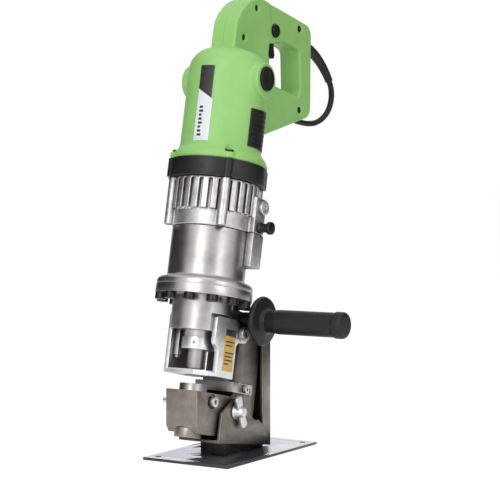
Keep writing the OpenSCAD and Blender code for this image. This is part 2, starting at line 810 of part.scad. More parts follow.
module brush_caps() {
    color("#1c1c1c") tool() for (s = [0, 1]) mirror([s, 0, 0]) difference() {
        xbar(brush_face - 2.9, brush_face + 1.5, brush_cap_r, 0, brush_z);
        block([brush_face, -1, brush_z - 8], [brush_face + 3, 1, brush_z + 8]);
    }
}

// ---------------------------------------------------------------- D handle

// Head over the motor, upper arm, slanted back bar and lower arm
head_curve = [[head_front, 362], [head_front, 392], [-19, 402], [-14, 412], [-7, 421], [1, 428.5],
    [12, 435.5], [25, 440]];
handle_outline = concat(head_curve,
    arc([131, 427], 14, 90, 15, 5),
    arc([147, 345], 14, 12, -65, 5),
    [[44, 281], [44, 340], [10, 362]]);
opening_outline = concat(
    [[54, 396], [62, 397.5], [74, 403], [84, 406.6], [90, arm_under]],
    arc([115.5, arm_under - 7], 7, 90, 12, 4),
    arc([126, opening_bottom + 7], 7, 12, -90, 4),
    arc([69, opening_bottom + 10], 10, 270, 180, 4),
    [[59, 378], [54, 384]]);

// One clamshell half on the +x side, before its own holes
module half_shell() {
    difference() {
        union() {
            slab(0, grip_half_w, handle_outline);
            slab(0, head_half_w, concat(head_curve, [[44, 440], [52, 410], [52, 362]]));
        }
        slab(-eps, 30, opening_outline);
        // saddle on the motor housing, and the strain relief's bore
        rotate_extrude($fn = fine) polygon(saddle_profile);
        translate([0, 131.5, 421.25]) rotate([-90, 0, 0]) cylinder(r = 6.6, h = 30);
        // room for the wiring, switch and trigger
        slab(-eps, 10.1, [[-8, motor_top + 4], [-8, 392], [2, 418], [24, 430], [50, 430], [50, motor_top + 4]]);
        slab(-eps, 5.6, [[49, 378], [49, 424], [90, 424], [90, 378]]);
        slab(-eps, 8.9, [[49, 400], [49, 414], [61, 414], [61, 400]]);
    }
}

module handle_screw_holes() {
    for (p = screw_at) {
        xbar(-20, 20, 2.3, p[0], p[1], 32);
        xbar(10.8, 20, 3.9, p[0], p[1], 32);
    }
}

module handle_right() {
    color(c_green) tool() difference() {
        half_shell();
        handle_screw_holes();
        xbar(5, 20, 7.6, lock_at[0], lock_at[1]);
    }
}

module handle_left() {
    color(c_green) tool() difference() {
        mirror([1, 0, 0]) half_shell();
        for (p = screw_at) xbar(-11, 1, 2.3, p[0], p[1], 32);
    }
}

module handle_screws() {
    color("#2a2a2a") tool() for (p = screw_at)
        translate([11, p[0], p[1]]) rotate([0, -90, 0]) socket_screw(3.7, 2.5, 2.2, 20, 1.8);
}

module trigger() {
    color(c_black) tool() difference() {
        slab(-5, 5, [[52, 408], [51.5, 391], [58, 386], [70, 384], [80, 385], [82, 389], [78, 398],
            [75, 408], [64, 412], [56, 412]]);
        xbar(-6, 6, 2 + fit, trigger_pivot[0], trigger_pivot[1], 32);
    }
}

module trigger_spring() {
    color(c_steel) tool() translate([0, 70, 411]) ring(2.6, 1.8, 0.4, 12.5, 24);
}

module switch_body() {
    color(c_black) tool() {
        block([-9.5, 24, 392], [9.5, 48, 420]);
        for (s = [0, 1]) mirror([s, 0, 0]) block([5.8, 47, 402], [8.5, 60, 412]);
        xbar(-8.5, 8.5, 2, trigger_pivot[0], trigger_pivot[1], 32);
    }
}

module lock_button() {
    color("#1c1c1c") tool() {
        xbar(11, 16, 7.4, lock_at[0], lock_at[1]);
    }
}

// ---------------------------------------------------------------- side handle

module handle_stud() {
    color(c_zinc) tool() xbar(9, 74, 6, side_y, side_z);
}

module side_grip() {
    color(c_black) tool() translate([0, side_y, side_z]) rotate([90, 0, 90]) difference() {
        rotate_extrude($fn = fine) polygon(concat(
            [[0, 26.2], [9, 26.2], [9.5, 44], [14, 46], [26, 47], [27.5, 50], [26, 53], [15, 55],
             [12, 58], [12.5, 64], [side_grip_r, 72], [side_grip_r, side_grip_end - 12],
             [side_grip_r + 1.2, side_grip_end - 11]],
            arc([side_grip_r - 3, side_grip_end - 4], 4, 0, 90, 4),
            [[0, side_grip_end]]));
        translate([0, 0, 25]) cylinder(r = 6 + snug, h = 50);
    }
}

// ---------------------------------------------------------------- mains lead

module strain_relief() {
    color(c_black) tool() sweep(relief_route, relief_radii, 16);
}

module cord_tube() {
    color(c_black) {
        sweep(smooth(cord_route), cord_r);
        sweep(smooth(tail_route), cord_r);
    }
}

module cord_coil() {
    h = coil_layers * cord_d;
    color(c_black) translate([coil_x, coil_y, coil_lift]) rotate_extrude($fn = 48)
        translate([coil_r0 - cord_r, 0]) square([2 * cord_d, h]);
}

// Two ties round the turns
module cord_ties() {
    r0 = coil_r0 - cord_r;
    r1 = r0 + 2 * cord_d;
    h = coil_layers * cord_d;
    t = coil_lift;
    color("#2a2a2a") for (a = [135, 315]) translate([coil_x, coil_y, 0]) rotate(a)
        rotate([90, 0, 0]) translate([0, 0, -4]) linear_extrude(8) difference() {
            translate([r0 - t, 0]) square([r1 - r0 + 2 * t, h + 2 * t]);
            translate([r0 - 0.2, t]) square([r1 - r0 + 0.4, h]);
        }
}

module plug() {
    color(c_black) translate([tail_route[5][0], tail_route[5][1], plug_r + 0.2]) rotate(plug_turn) {
        rotate([0, 90, 0]) cylinder(r1 = 4.6, r2 = 7, h = 25);
        translate([25, 0, 0]) rotate([0, 90, 0]) cylinder(r1 = 10, r2 = plug_r, h = 20);
        xbar(45, 53, plug_r);
        for (s = [-1, 1]) xbar(52, 72, 2.4, s * 9.5, 0, 24);
    }
}

// P clip that holds the lead on the left side of the lower arm
module cord_clip() {
    color(c_black) translate([clip_x, clip_y, clip_z]) difference() {
        union() {
            rotate([90, 0, 0]) translate([0, 0, -5]) cylinder(r = cord_r + 2, h = 10);
            block([0, -5, -2], [clip_face - clip_x, 5, 2]);
            block([clip_face - clip_x - 2, -5, -12], [clip_face - clip_x, 5, 2]);
        }
        rotate([90, 0, 0]) translate([0, 0, -8]) cylinder(r = cord_r + 0.4, h = 16);
    }
}

base_plate();
stand_bracket();
stand_screws();
wing_bolt_right();
wing_bolt_left();
c_frame();
die();
die_set_screws();
back_gauge();
gauge_screws();
stripper();
stripper_bolts();
guide_bar();
ram();
piston_seal();
rod_seal();
return_spring();
punch_nut();
punch();
cylinder_barrel();
flange_bolts();
side_block();
housing_gasket();
pump_housing();
tie_bolts();
pump_block();
plunger();
eccentric_shaft();
ball_bearings();
oil_bladder();
filler_plug();
release_valve();
collar_ring();
bearing_plate();
reduction_gear();
motor_housing();
housing_screws();
stator();
armature();
commutator();
armature_shaft();
fan();
brush_holders();
carbon_brushes();
brush_caps();
handle_right();
handle_left();
handle_screws();
trigger();
trigger_spring();
switch_body();
lock_button();
handle_stud();
side_grip();
cord_clip();
strain_relief();
cord_tube();
cord_coil();
cord_ties();
plug();
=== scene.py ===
import json
import math

import bmesh
import bpy
from mathutils import Matrix, Vector

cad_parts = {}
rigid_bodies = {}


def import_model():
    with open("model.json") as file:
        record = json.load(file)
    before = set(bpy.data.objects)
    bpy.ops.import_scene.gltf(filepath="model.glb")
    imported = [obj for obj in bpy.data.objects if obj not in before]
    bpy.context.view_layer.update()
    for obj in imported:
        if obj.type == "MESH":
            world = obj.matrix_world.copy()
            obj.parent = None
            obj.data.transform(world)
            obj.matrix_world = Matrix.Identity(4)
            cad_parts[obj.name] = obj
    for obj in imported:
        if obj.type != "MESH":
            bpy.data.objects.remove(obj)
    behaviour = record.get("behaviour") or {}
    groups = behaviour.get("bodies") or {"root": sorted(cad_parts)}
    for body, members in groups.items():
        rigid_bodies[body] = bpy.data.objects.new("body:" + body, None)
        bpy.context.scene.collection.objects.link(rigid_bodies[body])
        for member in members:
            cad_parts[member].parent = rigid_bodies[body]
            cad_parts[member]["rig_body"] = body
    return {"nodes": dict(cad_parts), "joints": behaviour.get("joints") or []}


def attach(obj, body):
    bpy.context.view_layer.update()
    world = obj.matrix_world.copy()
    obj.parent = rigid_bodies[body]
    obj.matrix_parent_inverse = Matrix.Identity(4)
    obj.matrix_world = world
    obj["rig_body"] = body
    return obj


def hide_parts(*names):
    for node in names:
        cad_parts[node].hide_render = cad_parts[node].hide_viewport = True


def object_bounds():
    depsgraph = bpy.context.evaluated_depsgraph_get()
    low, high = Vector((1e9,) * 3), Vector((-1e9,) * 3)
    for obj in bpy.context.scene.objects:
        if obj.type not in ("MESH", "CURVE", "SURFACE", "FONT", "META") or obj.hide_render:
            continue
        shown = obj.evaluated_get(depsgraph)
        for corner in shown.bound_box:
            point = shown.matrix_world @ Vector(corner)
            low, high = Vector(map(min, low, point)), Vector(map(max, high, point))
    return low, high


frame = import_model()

CAD_LOW, CAD_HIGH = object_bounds()
MM = 0.001
scene = bpy.context.scene

# ---------------------------------------------------------------- the tool's own frame
# z runs up the punch axis, y towards the D handle, and the origin is the die's top centre.
JOINTS = {j["name"]: j for j in frame["joints"]}
UP = Vector(JOINTS["rotor_spin"]["axis"]).normalized()
BACK = UP.cross(Vector((1, 0, 0)))
DIE_TOP = max(v.co.dot(UP) for v in frame["nodes"]["die"].data.vertices)
on_axis = Vector(JOINTS["rotor_spin"]["pos_m"])
ORIGIN = on_axis + UP * (DIE_TOP - on_axis.dot(UP))
TOOL = Matrix.Translation(ORIGIN) @ Matrix((
    (1, BACK.x, UP.x, 0), (0, BACK.y, UP.y, 0), (0, BACK.z, UP.z, 0), (0, 0, 0, 1)))
LEAN = math.atan2(UP.y, UP.z)
TURN_BACK = Matrix.Rotation(LEAN, 3, "X") @ ORIGIN      # the origin once the lean is undone


def tool(x, y, z):
    """A point of the tool's own frame, in millimetres, as a scene point in metres."""
    return TOOL @ Vector((x * MM, y * MM, z * MM))


# ---------------------------------------------------------------- camera
AZIMUTH = math.radians(32.0)          # to the right of the tool's front
DISTANCE, SIDE_STEP, HEIGHT = 1.7877, 0.0199, 0.3042
PITCH = math.radians(2.47)
ahead = Vector((-math.sin(AZIMUTH), math.cos(AZIMUTH), 0))
right = Vector((math.cos(AZIMUTH), math.sin(AZIMUTH), 0))
camera_data = bpy.data.cameras.new("camera")
camera_data.lens = 115.2
camera_data.sensor_width = 36
camera_data.clip_end = 30
camera = bpy.data.objects.new("camera", camera_data)
camera.location = right * SIDE_STEP - ahead * DISTANCE + Vector((0, 0, HEIGHT))
aim = ahead * math.cos(PITCH) - Vector((0, 0, math.sin(PITCH)))
camera.rotation_euler = aim.to_track_quat("-Z", "Y").to_euler()
scene.collection.objects.link(camera)
scene.camera = camera

# ---------------------------------------------------------------- materials


def srgb(r, g, b):
    """A linear colour from 8-bit sRGB values."""
    return tuple(((c / 255 + 0.055) / 1.055) ** 2.4 if c > 10 else c / 255 / 12.92
                 for c in (r, g, b)) + (1.0,)


class Nodes:
    """The node tree of a material or the world, with short calls."""

    def __init__(self, owner):
        owner.use_nodes = True
        self.owner = owner
        self.tree = owner.node_tree
        self.tree.nodes.clear()

    def add(self, kind, inputs=None, **settings):
        node = self.tree.nodes.new("ShaderNode" + kind)
        for key, value in settings.items():
            setattr(node, key, value)
        for key, value in (inputs or {}).items():
            if isinstance(value, bpy.types.NodeSocket):
                self.tree.links.new(value, node.inputs[key])
            else:
                node.inputs[key].default_value = value
        return node

    def noise(self, vector, scale, detail=3.0, roughness=0.5):
        return self.add("TexNoise", {"Vector": vector, "Scale": scale, "Detail": detail,
                                     "Roughness": roughness}).outputs["Fac"]

    def span(self, value, from_low, from_high, low, high):
        return self.add("MapRange", {"Value": value, "From Min": from_low, "From Max": from_high,
                                     "To Min": low, "To Max": high}).outputs["Result"]

    def mix(self, factor, a, b):
        node = self.add("Mix", data_type="RGBA")
        for index, value in ((0, factor), (6, a), (7, b)):
            if isinstance(value, bpy.types.NodeSocket):
                self.tree.links.new(value, node.inputs[index])
            else:
                node.inputs[index].default_value = value
        return node.outputs[2]

    def maths(self, operation, a, b):
        return self.add("Math", {0: a, 1: b}, operation=operation).outputs[0]

    def seen(self):
        """1 to the camera, in reflections and through clear material, and 0 to other light."""
        rays = self.add("LightPath").outputs
        direct = self.maths("MAXIMUM", rays["Is Camera Ray"], rays["Is Glossy Ray"])
        return self.maths("MAXIMUM", direct, rays["Is Transmission Ray"])


MATERIALS = {}
WORN_RADIUS = 0.0009                  # how far wear reaches from an edge
SHADE_REACH = 0.045                    # painted shade: how near other surfaces make a corner darker
COLUMN_Z = (0.07, 0.105)              # painted shade: painted steel gets darker between these heights
SEAM_X = (0.00012, 0.0003)            # the seam line's core and its edge
SEAM_FROM_Z = (0.3715, 0.372)         # the seam shows above the motor housing
SEAM_FROM_Y = (0.0465, 0.047)         # and behind it


def surface(name, colour, second, metallic=0.0, roughness=0.4, spread=0.08, patch=30.0,
            grain=900.0, bump=0.03, worn=None, wear=0.0, turned=0.0, coat=0.0, rim=None,
            specular=0.5, painted_shade=None, floor_shade_height=0.0, seam=False):
    """A procedural finish: blotches of a second colour and grain in gloss and relief, with
    optional turning marks round the tool's axis, worn edges, a darker rim, painted shade in
    the corners, painted shade near the floor and on the column, and the D handle's seam."""
    n = Nodes(bpy.data.materials.new(name + "_finish"))
    MATERIALS[name] = n.owner
    place = n.add("TexCoord").outputs["Object"]
    local = n.add("Mapping", {"Vector": place, "Rotation": (LEAN, 0, 0), "Location": -TURN_BACK},
                  vector_type="POINT").outputs["Vector"]
    blotch = n.span(n.noise(local, patch, 6.0, 0.6), 0.35, 0.68, 0.0, 1.0)
    fine = n.noise(local, grain, 4.0, 0.6)
    tint = n.mix(blotch, colour, second)
    tint = n.mix(n.span(fine, 0.3, 0.7, 0.0, 0.18), tint, second)
    gloss = n.span(n.noise(local, patch * 2.3, 5.0, 0.65), 0.3, 0.7, roughness - spread,
                   roughness + spread)
    relief = fine
    if turned:
        rings = n.add("Mapping", {"Vector": local, "Scale": (6, 6, 2600)}).outputs["Vector"]
        marks = n.noise(rings, 1.0, 5.0, 0.75)
        relief = n.mix(turned, fine, marks)
        gloss = n.maths("ADD", gloss, n.span(marks, 0.3, 0.7, -0.05, 0.07))
        tint = n.mix(n.span(marks, 0.35, 0.75, 0.0, 0.35), tint, second)
    if worn:
        rounded = n.add("Bevel", {"Radius": WORN_RADIUS}, samples=4).outputs["Normal"]
        flat = n.add("NewGeometry").outputs["Normal"]
        facing = n.add("VectorMath", {0: rounded, 1: flat},
                       operation="DOT_PRODUCT").outputs["Value"]
        edge = n.span(facing, 0.999, 0.9, 0.0, 1.0)
        chips = n.span(n.noise(local, 260.0, 5.0, 0.7), 0.5 - wear / 2, 0.62, 0.0, 1.0)
        tint = n.mix(n.maths("MULTIPLY", edge, chips), tint, worn)
    if rim:
        up = n.add("SeparateXYZ", {"Vector": n.add("NewGeometry").outputs["Normal"]}).outputs["Z"]
        side = n.span(n.maths("ABSOLUTE", up, 0.0), 0.3, 0.8, 1.0, 0.0)
        tint = n.mix(side, tint, rim)
    # painted shade: the colour darkens in corners and recesses, where other surfaces are near
    if painted_shade:
        open_air = n.add("AmbientOcclusion", {"Distance": SHADE_REACH}, samples=8).outputs["AO"]
        tint = n.mix(n.span(open_air, 0.2, 0.8, 1.0, 0.0), tint, painted_shade)
    # painted shade: darker close to the floor under the tool, and darker from the first COLUMN_Z
    # height upwards, as on the column
    if floor_shade_height:
        height = n.add("SeparateXYZ", {"Vector": place}).outputs["Z"]
        tint = n.mix(n.span(height, floor_shade_height * 0.35, floor_shade_height, 0.85, 0.0), tint, painted_shade)
        tint = n.mix(n.span(height, *COLUMN_Z, 0.0, 0.5), tint, painted_shade)
    if seam:
        axes = n.add("SeparateXYZ", {"Vector": local}).outputs
        line = n.span(n.maths("ABSOLUTE", axes["X"], 0.0), *SEAM_X, 1.0, 0.0)
        above = n.maths("MAXIMUM", n.span(axes["Z"], *SEAM_FROM_Z, 0.0, 1.0),
                        n.span(axes["Y"], *SEAM_FROM_Y, 0.0, 1.0))
        tint = n.mix(n.maths("MULTIPLY", n.maths("MULTIPLY", line, above), 0.4), tint,
                     srgb(70, 110, 50))
    normal = n.add("Bump", {"Height": relief, "Strength": 1.0,
                            "Distance": bump * MM}).outputs["Normal"]
    shader = n.add("BsdfPrincipled", {"Base Color": tint, "Metallic": metallic, "Roughness": gloss,
                                      "Normal": normal, "Coat Weight": coat, "Coat Roughness": 0.12,
                                      "Specular IOR Level": specular})
    n.add("OutputMaterial", {"Surface": shader.outputs["BSDF"]})
    return n.owner


GREEN = surface("green_plastic", srgb(147, 200, 116), srgb(137, 191, 104), roughness=0.47,
                spread=0.05, patch=22, grain=2400, bump=0.018, worn=srgb(170, 218, 140), wear=0.2,
                seam=True)
BLACK = surface("black_plastic", srgb(30, 30, 29), srgb(23, 23, 23), roughness=0.42, spread=0.08,
                patch=45, grain=1800, bump=0.03, worn=srgb(72, 72, 70), wear=0.25, specular=0.3)
surface("rubber", srgb(24, 24, 24), srgb(34, 34, 33), roughness=0.62, spread=0.08,
        patch=60, grain=1500, bump=0.03, specular=0.3)
JACKET = surface("cord_jacket", srgb(24, 24, 24), srgb(32, 32, 31), roughness=0.5, spread=0.07,
                 patch=60, grain=1300, bump=0.02, specular=0.3)
# painted shade in the corners, near the floor and on the column
surface("frame_paint", srgb(150, 143, 133), srgb(116, 110, 102), metallic=0.65,
        roughness=0.38, spread=0.08, patch=55, grain=750, bump=0.09,
        worn=srgb(196, 192, 186), wear=0.45, coat=0.1, painted_shade=srgb(40, 37, 34), floor_shade_height=0.03)
# painted shade in corners and recesses
surface("cast_alu", srgb(206, 206, 204), srgb(168, 167, 164), metallic=0.9, roughness=0.42,
        spread=0.09, patch=70, grain=900, bump=0.08, worn=srgb(226, 226, 224), wear=0.35,
        painted_shade=srgb(92, 90, 88))
TURNED = surface("turned_steel", srgb(190, 189, 187), srgb(150, 149, 146), metallic=1.0,
                 roughness=0.33, spread=0.05, patch=25, grain=900, bump=0.012, turned=0.85,
                 worn=srgb(230, 230, 229), wear=0.3)
surface("tool_steel", srgb(176, 175, 173), srgb(140, 139, 136), metallic=1.0,
        roughness=0.38, spread=0.05, patch=40, grain=900, bump=0.01, turned=0.6,
        worn=srgb(228, 228, 226), wear=0.3)
# painted shade in corners and recesses
surface("zinc", srgb(232, 233, 234), srgb(206, 208, 210), metallic=0.75, roughness=0.36,
        spread=0.08, patch=80, grain=600, bump=0.02, worn=srgb(245, 245, 245), wear=0.4,
        painted_shade=srgb(110, 108, 106))
surface("dark_steel", srgb(56, 55, 53), srgb(38, 37, 36), metallic=0.8,
        roughness=0.36, spread=0.08, patch=90, grain=900, bump=0.03,
        worn=srgb(118, 116, 112), wear=0.35)
surface("base_sheet", srgb(198, 198, 210), srgb(190, 190, 203), metallic=0.85,
        roughness=0.07, spread=0.02, patch=18, grain=500, bump=0.0003,
        rim=srgb(70, 68, 66))
surface("lamination", srgb(104, 100, 96), srgb(84, 80, 76), metallic=0.8,
        roughness=0.42, turned=0.9, bump=0.05)
surface("copper", srgb(198, 124, 84), srgb(172, 102, 66), metallic=1.0, roughness=0.3,
        turned=0.7)
surface("brass", srgb(204, 172, 102), srgb(178, 146, 82), metallic=1.0, roughness=0.3)
surface("carbon", srgb(40, 40, 40), srgb(52, 52, 52), metallic=0.2, roughness=0.5)
YELLOW = surface("label_yellow", srgb(222, 184, 84), srgb(206, 166, 66), roughness=0.35,
                 spread=0.05, patch=120, grain=700, bump=0.01)
WHITE = surface("label_white", srgb(226, 229, 232), srgb(214, 218, 222), roughness=0.32,
                spread=0.04, patch=60, grain=900, bump=0.008)
INK = surface("label_black", srgb(38, 38, 38), srgb(48, 48, 48), roughness=0.35, spread=0.05,
              patch=60, grain=900, bump=0.008)

# ---------------------------------------------------------------- pieces


def body_name(node):
    return frame["nodes"][node]["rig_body"]


def slot_name(node):
    return frame["nodes"][node].data.materials[0].name.split(".")[0]


def new_piece(name, mesh, body, material, stands_for=()):
    """A visible piece from a mesh in scene coordinates."""
    piece = bpy.data.objects.new(name, mesh)
    scene.collection.objects.link(piece)
    mesh.materials.clear()
    mesh.materials.append(material)
    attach(piece, body)
    if stands_for:
        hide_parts(*stands_for)
    return piece


FLAT_ANGLE, SHARP_ANGLE, MOULDED_ANGLE = 0.6, 28, 60     # degrees between faces


def smooth(mesh, angle=32):
    """Smooth shading that keeps edges sharper than an angle."""
    mesh.shade_smooth()
    mesh.set_sharp_from_angle(angle=math.radians(angle))


def cad_bmesh(*nodes):
    """CAD nodes as one bmesh, welded."""
    bm = bmesh.new()
    for node in nodes:
        bm.from_mesh(frame["nodes"][node].data)
    bmesh.ops.remove_doubles(bm, verts=bm.verts, dist=1e-6)
    return bm


def as_mesh(bm, name):
    mesh = bpy.data.meshes.new(name)
    bm.to_mesh(mesh)
    bm.free()
    return mesh


def modified(mesh, name, *modifiers):
    """A mesh after a list of (type, settings) modifiers."""
    holder = bpy.data.objects.new("holder", mesh)
    scene.collection.objects.link(holder)
    for kind, settings in modifiers:
        m = holder.modifiers.new(kind, kind)
        for key, value in settings.items():
            setattr(m, key, value)
    depsgraph = bpy.context.evaluated_depsgraph_get()
    made = bpy.data.meshes.new_from_object(holder.evaluated_get(depsgraph))
    bpy.data.objects.remove(holder)
    made.name = name
    return made


def stand_for(node, suffix, mesh):
    """The piece that takes a CAD node's place, on its body and with its finish."""
    slot = slot_name(node)
    return new_piece(node + suffix, mesh, body_name(node), MATERIALS[slot], [node])


def edged(node, width, segments=2):
    """A CAD node with its sharp edges broken, which then stands for it."""
    bm = cad_bmesh(node)
    bmesh.ops.dissolve_limit(bm, angle_limit=math.radians(FLAT_ANGLE), verts=bm.verts,
                             edges=bm.edges)
    mesh = modified(as_mesh(bm, node), node, ("BEVEL", dict(
        width=width * MM, segments=segments, limit_method="ANGLE",
        angle_limit=math.radians(SHARP_ANGLE), harden_normals=False, use_clamp_overlap=True,
        miter_outer="MITER_ARC")))
    smooth(mesh)
    return stand_for(node, "_edged", mesh)


def moulded_mesh(bm, name, voxel, passes, reduce=1.0):
    """A soft-edged skin: fine voxels along the tool's axes, smoothed, then thinned out."""
    bm.transform(TOOL.inverted())
    steps = [("REMESH", dict(mode="VOXEL", voxel_size=voxel * MM, use_smooth_shade=True)),
             ("SMOOTH", dict(factor=0.5, iterations=passes))]
    if reduce < 1:
        steps.append(("DECIMATE", dict(ratio=reduce)))
    mesh = modified(as_mesh(bm, name), name, *steps)
    mesh.transform(TOOL)
    return mesh


def moulded(node, voxel, passes, reduce=1.0):
    """A CAD node as a soft-edged skin, which then stands for it."""
    mesh = moulded_mesh(cad_bmesh(node), node, voxel, passes, reduce)
    smooth(mesh, MOULDED_ANGLE)
    return stand_for(node, "_moulded", mesh)


# ---------------------------------------------------------------- mains lead
CORD_D = 0.007
COIL_X, COIL_Y = -104, 136
INNER_R, OUTER_R = 35.5, 42.5
LOW_Z = 4.7
TURNS = 8 + 32 / 360
STEP_IN, STEP_OUT, STEP = 0.64, 5.0, 0.36    # turns before each change of ring, and its length
RISE_FROM, RISE_TURNS, FALL_FROM = 1.0, 4.0, 5.36
RISE_A_TURN, WHOLE_FALL = 7, 21
COIL_STEPS = 194
cord_route = [
    (0, 220.9, 426.8), (0, 225, 420.2), (-0.4, 227.7, 412.5), (-1.3, 228.6, 404.4),
    (-3.4, 226.3, 392.9), (-6.6, 219.8, 383.2), (-10.4, 210.1, 376.7), (-14.2, 198.6, 374.4),
    (-17.6, 185, 375.2), (-20, 170, 377.7), (-21, 154, 381), (-21, 134, 384),
    (-21, 114, 386), (-21, 98, 386), (-21, 86, 384), (-25, 72, 376), (-31, 64, 362),
    (-36, 61, 344), (-40, 62, 322), (-43, 64, 296), (-46, 67, 268), (-48, 70, 240),
    (-50, 73, 212), (-53, 75, 184), (-56, 76, 156), (-58, 77, 128), (-60, 78, 100),
    (-61, 78, 74), (-61.5, 78, 52), (-61.5, 78, 35.7), (-61.5, 80.4, 23.8),
    (-61.5, 87.1, 13.8), (-61.5, 97.1, 7.1), (-61.5, 109, 4.7), (-61.5, 121, 4.7)]
tail_route = [
    (-74, 168, 11.8), (-80, 177.5, 12.7), (-86, 187, 14.3), (-92, 196.5, 16.1),
    (-97, 204.5, 17.2)]


def ease(t):
    t = min(1.0, max(0.0, t))
    return t * t * (3 - 2 * t)


def coil_point(turn):
    """The lead's centre after that many turns: less than one outer turn on the floor, four
    rising inside it, then about three falling outside."""
    inward = ease((turn - STEP_IN) / STEP)
    outward = ease((turn - STEP_OUT) / STEP)
    radius = OUTER_R - (OUTER_R - INNER_R) * (inward - outward)
    rise = RISE_A_TURN * min(RISE_TURNS, max(0.0, turn - RISE_FROM))
    fall = WHOLE_FALL * max(0.0, turn - FALL_FROM) / (TURNS - FALL_FROM)
    a = 2 * math.pi * turn
    return (COIL_X + radius * math.cos(a), COIL_Y + radius * math.sin(a), LOW_Z + rise - fall)


coil_points = [coil_point(TURNS * i / COIL_STEPS) for i in range(COIL_STEPS + 1)]
cord_points = [Vector(p) * MM for p in cord_route + coil_points + tail_route]

cord_curve = bpy.data.curves.new("mains_lead", "CURVE")
cord_curve.dimensions = "3D"
cord_curve.bevel_depth = CORD_D / 2
cord_curve.bevel_resolution = 4
cord_curve.resolution_u = 5
cord_curve.use_fill_caps = True
spline = cord_curve.splines.new("BEZIER")
spline.bezier_points.add(len(cord_points) - 1)
for point, place in zip(spline.bezier_points, cord_points):
    point.co = place
    point.handle_left_type = point.handle_right_type = "AUTO"
cord_curve.materials.append(JACKET)
cord = bpy.data.objects.new("mains_lead", cord_curve)
scene.collection.objects.link(cord)
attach(cord, "frame")
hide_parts("cord_tube", "cord_coil")

# ---------------------------------------------------------------- refined CAD pieces
EDGED = [
    ("base_plate", 0.35, 2), ("stand_bracket", 0.6, 2), ("stand_screws", 0.3, 2),
    ("c_frame", 1.0, 3), ("die", 0.6, 2), ("die_set_screws", 0.4, 2),
    ("back_gauge", 0.5, 2), ("gauge_screws", 0.4, 2), ("stripper", 0.5, 2),
    ("stripper_bolts", 0.5, 2), ("guide_bar", 0.8, 3), ("ram", 0.4, 2), ("punch_nut", 0.6, 2),
    ("punch", 0.3, 2), ("cylinder_barrel", 0.7, 2), ("flange_bolts", 0.6, 2),
    ("side_block", 1.0, 3), ("tie_bolts", 0.4, 2), ("filler_plug", 0.5, 2),
    ("release_valve", 0.6, 2), ("collar_ring", 1.2, 3), ("housing_screws", 0.4, 2),
    ("brush_caps", 0.7, 2), ("handle_screws", 0.3, 2), ("trigger", 1.6, 3),
    ("lock_button", 0.8, 3), ("cord_clip", 0.4, 2), ("cord_ties", 0.3, 2), ("plug", 1.0, 3),
    ("housing_gasket", 0.1, 1), ("handle_stud", 0.3, 1)]
pieces = {node: edged(node, width, segments) for node, width, segments in EDGED}
for node in ("wing_bolt_right", "wing_bolt_left"):
    pieces[node] = moulded(node, 0.5, 3)
pieces["side_grip"] = moulded("side_grip", 0.8, 2, 0.6)
pieces["strain_relief"] = edged("strain_relief", 0.3)
pieces["pump_housing"] = moulded("pump_housing", 0.8, 3, 0.6)

# The green plastics blend into one another: one skin over the motor housing and the D
# handle's halves, with the halves' seam drawn by the finish
green_parts = ("motor_housing", "handle_right", "handle_left")
shell = cad_bmesh(*green_parts)
inner = [f for f in shell.faces if all(abs(v.co.x) < 1e-6 for v in f.verts)]
bmesh.ops.delete(shell, geom=inner, context="FACES")
shell_mesh = moulded_mesh(shell, "green_shell", 0.9, 26, 0.6)
smooth(shell_mesh, MOULDED_ANGLE)
pieces["green_shell"] = new_piece("green_shell_moulded", shell_mesh, "frame", GREEN,
                                  green_parts)

# The frame's flange and neck are bare turned steel above the painted casting
bare = pieces["c_frame"].data
bare.materials.append(TURNED)
BARE_FROM_Z, BARE_RADIUS = 56.6, 54
for face in bare.polygons:
    centre = TOOL.inverted() @ face.center
    if centre.z > BARE_FROM_Z * MM and math.hypot(*centre.xy) < BARE_RADIUS * MM:
        face.material_index = 1

# ---------------------------------------------------------------- labels and plates
MOTOR_R = 45.05


def curved_plate(name, angle_0, angle_1, low, high, thick, material, across=24):
    """A thin plate bent round the motor barrel; low and high give its ends' heights."""
    bm = bmesh.new()
    rows = 16
    grid = []
    for i in range(across + 1):
        t = i / across
        a = math.radians(angle_0 + (angle_1 - angle_0) * t)
        z0 = low[0] + (low[1] - low[0]) * t
        z1 = high[0] + (high[1] - high[0]) * t
        grid.append([bm.verts.new(tool(MOTOR_R * math.sin(a), -MOTOR_R * math.cos(a),
                                       z0 + (z1 - z0) * k / rows)) for k in range(rows + 1)])
    for i in range(across):
        for k in range(rows):
            bm.faces.new((grid[i][k], grid[i + 1][k], grid[i + 1][k + 1], grid[i][k + 1]))
    mesh = modified(as_mesh(bm, name), name,
                    ("SOLIDIFY", dict(thickness=thick * MM, offset=1)),
                    ("BEVEL", dict(width=thick * 0.3 * MM, segments=2, limit_method="ANGLE",
                                   angle_limit=math.radians(40))))
    smooth(mesh)
    return new_piece(name, mesh, "frame", material)


curved_plate("front_label_dark", -9.5, 12.5, (317.5, 306.5), (343.5, 343), 0.3, INK)
curved_plate("front_label_light", -9, 14.5, (259.5, 259.5), (317.2, 305.4), 0.3, WHITE)
for i in range(8):
    z = 264.5 + 4.4 * i
    curved_plate(f"front_label_mark_{i}", -4, 2.5 - i % 3, (z, z), (z + 2.6, z + 2.6), 0.36, INK,
                 across=4)
curved_plate("side_plate", 72, 116, (260, 260), (302, 305), 0.9, BLACK)
for i in range(7):
    z = 266 + 5.2 * i
    curved_plate(f"side_plate_rib_{i}", 77, 111, (z, z), (z + 1.6, z + 1.6), 1.7, BLACK)


